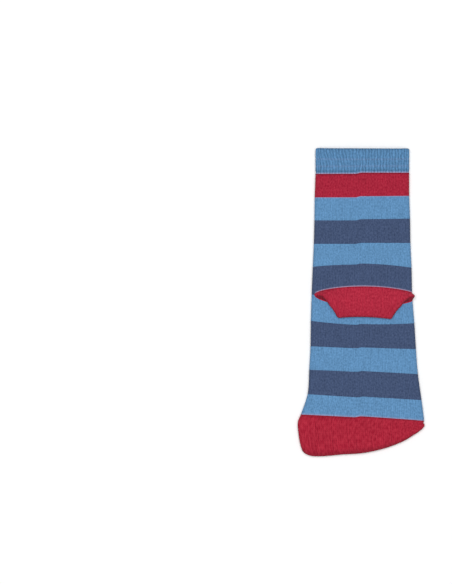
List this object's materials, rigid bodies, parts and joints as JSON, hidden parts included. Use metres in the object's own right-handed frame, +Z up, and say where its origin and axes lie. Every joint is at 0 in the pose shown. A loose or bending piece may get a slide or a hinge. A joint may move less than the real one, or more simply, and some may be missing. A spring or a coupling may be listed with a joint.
{
  "type": "knitted sock",
  "caption": "Child's knitted sock lying flat, sole up: ribbed cuff, striped leg and foot, heel pocket folded down, closed toe; open inside from mouth to toe.",
  "frame": {"origin": "on the surface that the sock lies on, under the middle of its outline", "axes": "+X across the sock to the right as seen from above, +Y along it towards the mouth, +Z up out of the surface, with the sole face up"},
  "size_m": [0.1016, 0.2466, 0.0115],
  "materials": {
    "yarn_light_blue": "heathered light blue cotton knit, matt",
    "yarn_navy": "heathered dusty navy cotton knit, matt",
    "yarn_red": "heathered crimson cotton knit, matt"
  },
  "bodies": {
    "root": {"cuff_rib": "yarn_light_blue", "leg_red": "yarn_red", "leg_light_1": "yarn_light_blue", "leg_dark_1": "yarn_navy", "leg_light_2": "yarn_light_blue", "leg_dark_2": "yarn_navy", "heel_pocket": "yarn_red", "foot_light_1": "yarn_light_blue", "foot_dark_1": "yarn_navy", "foot_light_2": "yarn_light_blue", "foot_dark_2": "yarn_navy", "foot_light_3": "yarn_light_blue", "toe_cap": "yarn_red"}
  },
  "joints": []
}
